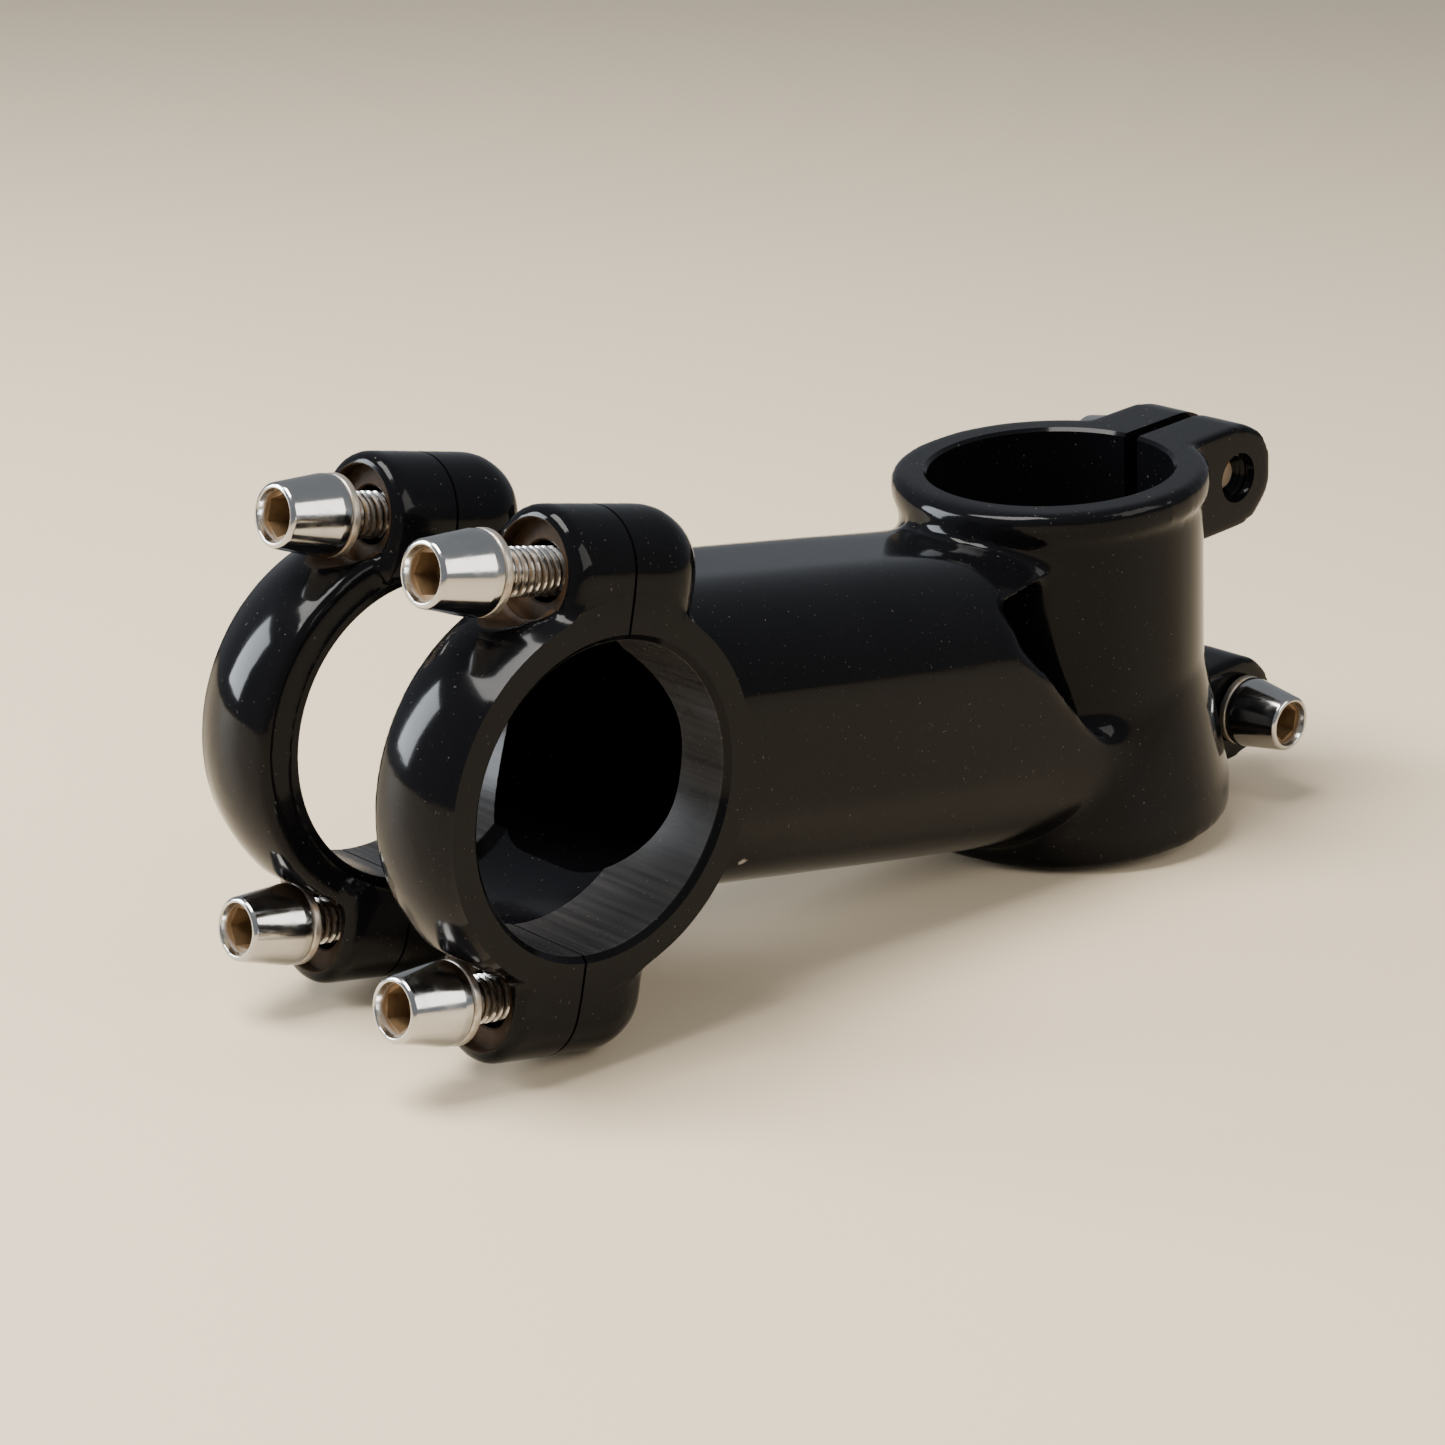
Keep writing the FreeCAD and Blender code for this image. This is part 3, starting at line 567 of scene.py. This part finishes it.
def paint():
    """Thick gloss black paint with fine dust, chips to bare alloy, and a machined bar seat."""
    f = Finish("gloss_black_paint", Coat_Roughness=0.05, Coat_IOR=1.3, IOR=1.17)
    across = f.along(ACROSS, tuple(BAR_CENTRE))
    up = f.along(UP, tuple(BAR_CENTRE))
    forward = f.along(FORWARD, tuple(BAR_CENTRE))
    spread = up * up + forward * forward
    radius = f.maths("SQRT", spread)

    # machined bar seat, with streaks along the bar
    in_seat = f.fade(radius, BAR_R + 0.12 * MM, BAR_R + 0.02 * MM)
    stretched = f.node("Mapping", None, {"Vector": f.place, "Scale": (60, 1500, 1500)})
    streaks = f.noise(1.0, 4.0, stretched)

    # bare spot faces under the screw heads
    side = f.maths("ABSOLUTE", across) - SCREW_X
    level = f.maths("ABSOLUTE", up) - SCREW_U
    from_screw = f.maths("SQRT", side * side + level * level)
    in_spot = f.fade(from_screw, SEAT_R + 0.25 * MM, SEAT_R + 0.05 * MM)
    in_spot = in_spot * f.fade(forward, SEAT_N - 0.3 * MM, SEAT_N - 0.1 * MM)

    # chips: a few small ragged spots
    ragged = f.noise(900.0, 4.0)
    cells = {"Vector": f.place, "Scale": 130.0, "Randomness": 1.0}
    spot_size = f.node("TexVoronoi", {"feature": "F1"}, cells)
    spot_pick = f.node("TexVoronoi", {"feature": "F1"}, cells, output="Color")
    chance = f.node("SeparateColor", None, {"Color": spot_pick})
    chipped = f.fade(spot_size + ragged * 0.16, 0.16, 0.12) * f.fade(chance, 0.86, 0.88)
    dust = f.fade(f.noise(2600.0, 2.0), 0.70, 0.78)
    cloud = f.noise(70.0, 4.0)

    black = f.mix(cloud, (0.002, 0.002, 0.0025, 1), (0.004, 0.004, 0.0048, 1))
    seat_tone = f.mix(streaks, (0.006, 0.006, 0.007, 1), (0.055, 0.053, 0.052, 1))
    colour = f.mix(in_seat, black, seat_tone)
    rust = f.mix(ragged, (0.012, 0.008, 0.005, 1), (0.060, 0.034, 0.018, 1))
    colour = f.mix(in_spot, colour, rust)
    colour = f.mix(dust * 0.22, colour, (0.30, 0.27, 0.23, 1))
    colour = f.mix(chipped, colour, (0.42, 0.40, 0.37, 1))
    f.feed("Base Color", colour)
    rough = 0.09 + f.fade(cloud, 0.4, 0.75) * 0.10 + in_seat * 0.16 + in_spot * 0.38
    f.feed("Roughness", rough + dust * 0.2 + chipped * 0.3)
    f.feed("Coat Weight", 0.14 - in_seat * 0.1 - in_spot * 0.14)
    f.feed("Metallic", chipped * 0.8)
    peel = f.noise(420.0, 2.0)
    height = peel * 0.05 + streaks * in_seat * 0.35 + ragged * in_spot * 0.6 - chipped * 1.2
    f.wear(0.35, 0.12 * MM, height)
    return f.material


def plated_steel():
    """Bright plating with brown grime in the socket and the thread."""
    f = Finish("bright_plated_steel")
    worn_in = f.node("Attribute", {"attribute_name": "grime"}, output="Fac")
    patches = f.noise(650.0, 5.0)
    dirt = f.fade(worn_in + patches * 0.7, 0.70, 1.25)
    bright = f.mix(f.noise(200.0, 3.0), (0.40, 0.39, 0.375, 1), (0.54, 0.53, 0.51, 1))
    brown = f.mix(patches, (0.05, 0.028, 0.012, 1), (0.30, 0.19, 0.09, 1))
    f.feed("Base Color", f.mix(dirt, bright, brown))
    f.feed("Metallic", 1.0 - dirt * 0.65)
    f.feed("Roughness", 0.13 + f.fade(patches, 0.45, 0.8) * 0.12 + dirt * 0.35)
    f.wear(0.3, 0.08 * MM, patches * dirt + f.noise(2400.0, 2.0) * 0.08)
    return f.material


def dull_steel():
    """Washer steel under a film of brown grime."""
    f = Finish("grimy_washer_steel")
    worn_in = f.node("Attribute", {"attribute_name": "grime"}, output="Fac")
    patches = f.noise(800.0, 5.0)
    dirt = f.fade(worn_in + patches * 0.8, 0.75, 1.35)
    steel = (0.52, 0.50, 0.46, 1)
    brown = f.mix(patches, (0.07, 0.040, 0.018, 1), (0.34, 0.22, 0.11, 1))
    f.feed("Base Color", f.mix(dirt, steel, brown))
    f.feed("Metallic", 1.0 - dirt * 0.5)
    f.feed("Roughness", 0.24 + dirt * 0.35)
    f.wear(0.3, 0.08 * MM, patches)
    return f.material


def plain(name, colour, roughness):
    """A plain matt surface with the slightest unevenness."""
    f = Finish(name)
    lighter = tuple(channel * 1.03 for channel in colour[:3]) + (1,)
    f.feed("Base Color", f.mix(f.noise(9.0, 2.0), colour, lighter))
    f.feed("Roughness", roughness + f.noise(30.0, 2.0) * 0.05)
    return f.material


# ---- putting it together -------------------------------------------------------------------

def dress(piece, body, node, finish, angle=32):
    """Give a piece its finish and say what it rides on and which CAD node it stands for."""
    pick(piece)
    bpy.ops.object.shade_smooth_by_angle(angle=math.radians(angle))
    piece.data.materials.clear()
    piece.data.materials.append(finish)
    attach(piece, body)
    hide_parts(node)


black_paint = paint()
plating = plated_steel()
washer_finish = dull_steel()

forged = forging()
dress(machine_body(forged), "stem", "stem_body", black_paint)
for cap_side, sign in (("left", 1), ("right", -1)):
    node = "faceplate_" + cap_side
    cap = machine_cap(forged, "front_cap_" + cap_side, sign)
    dress(cap, node, node, black_paint)
pick(forged)
bpy.ops.object.delete()

long_screw = make_screw("long_screw", 18 * MM)
short_screw = make_screw("short_screw", 15 * MM)
washer_master = make_washer("washer_master")
WASHER_THICK = 0.9 * MM
SCREWS = (
    ("cap_left_upper", "faceplate_{}_left_upper", long_screw, 12),
    ("cap_left_lower", "faceplate_{}_left_lower", long_screw, 40),
    ("cap_right_upper", "faceplate_{}_right_upper", long_screw, 25),
    ("cap_right_lower", "faceplate_{}_right_lower", long_screw, 5),
    ("pinch_upper", "pinch_{}_upper", short_screw, 50),
    ("pinch_lower", "pinch_{}_lower", short_screw, 18),
)
for place, node_name, master, turn in SCREWS:
    screw = copy_of(master, "screw_" + place)
    settle(screw, stand_at(place + "_turn", WASHER_THICK, turn))
    dress(screw, place + "_bolt", node_name.format("bolt"), plating)
    washer = copy_of(washer_master, "washer_" + place)
    settle(washer, stand_at(place + "_turn", 0, turn))
    dress(washer, place + "_washer", node_name.format("washer"), washer_finish)
pick(long_screw, short_screw, washer_master)
bpy.ops.object.delete()

# The stem rests on the front of its steerer clamp's lower face and on the lower lugs.
FOOT_Y = -20.1 * MM
tilt = math.pi
for name in ("stem_forging", "front_cap_left", "front_cap_right"):
    for vertex in bpy.data.objects[name].data.vertices:
        if vertex.co.y < FOOT_Y - 20 * MM:
            tilt = min(tilt, math.atan2(vertex.co.z, FOOT_Y - vertex.co.y))
nothing_selected()
bpy.ops.mesh.primitive_plane_add(size=3, location=(0, FOOT_Y, 0), rotation=(-tilt, 0, 0))
floor = bpy.context.object
floor.name = "studio_floor"
floor.data.materials.append(plain("pale_floor", (0.70, 0.57, 0.40, 1), 0.55))

nothing_selected()
camera_turn = [math.radians(angle) for angle in (67.8567, 3.1942, 46.9312)]
bpy.ops.object.camera_add(location=(0.25940, -0.28492, 0.16849), rotation=camera_turn)
camera = bpy.context.object
camera.data.lens = 86.3825
camera.data.sensor_width = 36
camera.data.clip_start = 0.01
bpy.context.scene.camera = camera

studio = bpy.data.worlds.new("studio")
bpy.context.scene.world = studio
studio.use_nodes = True
sky = studio.node_tree.nodes["Background"]
sky.inputs["Color"].default_value = (0.86, 0.92, 1.0, 1)
sky.inputs["Strength"].default_value = 0.38


def soft_light(name, place, target, size, energy, colour):
    nothing_selected()
    bpy.ops.object.light_add(type="AREA", location=place)
    light = bpy.context.object
    light.name = name
    light.data.shape = "RECTANGLE"
    light.data.size, light.data.size_y = size
    light.data.energy = energy
    light.data.color = colour
    light.rotation_euler = (Vector(target) - light.location).to_track_quat("-Z", "Y").to_euler()


STEM_MIDDLE = (0, -0.045, 0.02)
soft_light("overhead", (-0.10, -0.25, 0.70), STEM_MIDDLE, (0.40, 0.40), 12, (1, 0.98, 0.95))
soft_light("window_side", (-0.60, -0.50, 0.34), STEM_MIDDLE, (0.26, 0.40), 9, (0.88, 0.94, 1))
soft_light("fill_side", (0.55, 0.20, 0.35), STEM_MIDDLE, (0.4, 0.4), 2.5, (1, 0.96, 0.90))
